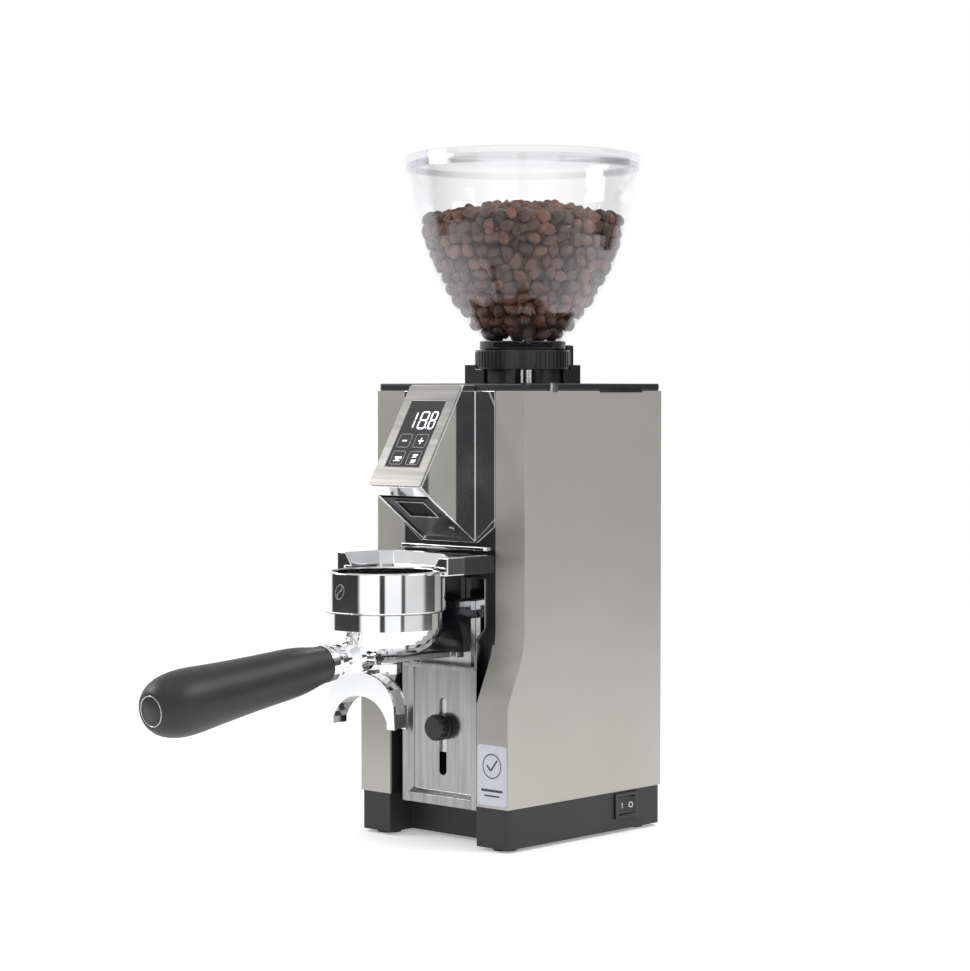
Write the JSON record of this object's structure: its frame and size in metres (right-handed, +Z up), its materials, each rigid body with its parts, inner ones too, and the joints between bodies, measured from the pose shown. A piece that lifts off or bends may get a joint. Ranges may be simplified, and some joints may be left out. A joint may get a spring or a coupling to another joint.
{
  "type": "burr coffee grinder",
  "caption": "Countertop burr coffee grinder: tall sheet metal case, clear bean hopper, tilted touch display, adjustable portafilter cradle with guide collar, and a portafilter with dosing ring.",
  "frame": {"origin": "on the floor under the feet, midway across the body and midway along its base", "axes": "+Z up; the front with the display and the portafilter faces -Y; +X is the side with the power switch"},
  "size_m": [0.148, 0.3792, 0.4232],
  "materials": {
    "base_plastic": "fine moulded texture, satin",
    "case_metal": "satin champagne grey",
    "cover_plastic": "satin black",
    "chrome": "polished",
    "brushed_plate": "brushed",
    "display": "gloss black",
    "board": "solder mask",
    "black_plastic": "satin black",
    "gloss_black": "gloss",
    "stainless": "satin",
    "soft_rubber": "matte",
    "machined": "machined",
    "burr_steel": "ground",
    "brass": "turned",
    "copper": "wound wire",
    "screw_steel": "plated",
    "clear_hopper": "clear",
    "lid_smoke": "smoke tint",
    "beans": "roasted coffee",
    "grip": "soft touch black",
    "ring_black": "knurled satin black",
    "capacitor_sleeve": "sleeve"
  },
  "bodies": {
    "housing": {"base_tray": "base_plastic", "rubber_feet": "soft_rubber", "left_panel": "case_metal", "right_panel": "case_metal", "rear_panel": "case_metal", "top_cover": "cover_plastic", "top_plinth": "cover_plastic", "hopper_interlock": "cover_plastic", "index_studs": "screw_steel", "front_frame": "black_plastic", "front_plate": "chrome", "head_shell": "chrome", "display_bezel": "brushed_plate", "display_glass": "display", "display_board": "board", "head_floor": "black_plastic", "outlet_frame": "stainless", "outlet_flap": "soft_rubber", "chute": "black_plastic", "shelf": "chrome", "shelf_bumper": "black_plastic", "back_panel": "chrome", "slot_plate": "stainless", "case_screws": "screw_steel", "chassis_posts": "machined", "motor_plate": "machined", "motor_can": "machined", "stator": "copper", "motor_bearings": "screw_steel", "capacitor": "capacitor_sleeve", "control_board": "board", "grinding_chamber": "machined", "cable_gland": "black_plastic", "switch_bezel": "gloss_black"},
    "rotor": {"motor_shaft": "screw_steel", "rotor_core": "machined", "cooling_fan": "black_plastic", "lower_carrier": "machined", "lower_burr": "burr_steel"},
    "upper_burr_set": {"upper_carrier": "brass", "upper_burr": "burr_steel"},
    "setting_ring": {"grind_ring": "ring_black"},
    "hopper": {"hopper_collar": "cover_plastic", "hopper_bowl": "clear_hopper", "coffee_beans": "beans"},
    "gate": {"bean_gate": "clear_hopper"},
    "lid": {"hopper_lid": "lid_smoke"},
    "rocker": {"power_rocker": "gloss_black"},
    "carriage": {"carriage_block": "machined", "nose_cover": "gloss_black", "load_cell": "machined", "fork": "stainless", "collar_carrier": "black_plastic", "guide_collar": "chrome"},
    "knob": {"clamp_knob": "black_plastic"},
    "portafilter": {"portafilter_bowl": "chrome", "filter_basket": "stainless", "dosing_ring": "chrome", "portafilter_handle": "grip", "double_spout": "chrome"}
  },
  "joints": [
    {"name": "burr_spin", "type": "hinge", "parent": "housing", "child": "rotor", "pos_m": [0, 0.01, 0.2], "axis": [0, 0, 1], "continuous": true},
    {"name": "grind_setting", "type": "hinge", "parent": "housing", "child": "setting_ring", "pos_m": [0, 0.01, 0.29], "axis": [0, 0, 1], "range_deg": [-90, 180]},
    {"name": "upper_burr_travel", "type": "slide", "parent": "setting_ring", "child": "upper_burr_set", "axis": [0, 0, 1], "range_m": [-0.0003, 0.0006]},
    {"name": "hopper_lift", "type": "slide", "parent": "housing", "child": "hopper", "axis": [0, 0, 1], "range_m": [0, 0.045]},
    {"name": "bean_gate_slide", "type": "slide", "parent": "hopper", "child": "gate", "axis": [0.6794, -0.7337, 0], "range_m": [0, 0.03]},
    {"name": "lid_lift", "type": "slide", "parent": "hopper", "child": "lid", "axis": [0, 0, 1], "range_m": [0, 0.06]},
    {"name": "power_switch", "type": "hinge", "parent": "housing", "child": "rocker", "pos_m": [0.0605, 0.0372, 0.017], "axis": [0, 0, 1], "range_deg": [0, 16]},
    {"name": "cradle_height", "type": "slide", "parent": "housing", "child": "carriage", "axis": [0, 0, 1], "range_m": [-0.026, 0.001]},
    {"name": "clamp_knob_turn", "type": "hinge", "parent": "carriage", "child": "knob", "pos_m": [0, -0.065, 0.07], "axis": [0, -1, 0], "range_deg": [0, 270]},
    {"name": "portafilter_draw", "type": "slide", "parent": "carriage", "child": "portafilter", "axis": [0, -1, 0], "range_m": [0, 0.08]}
  ],
  "couplings": [
    {"joint": "upper_burr_travel", "follows": "grind_setting", "m_per_rad": 0.00015915}
  ]
}
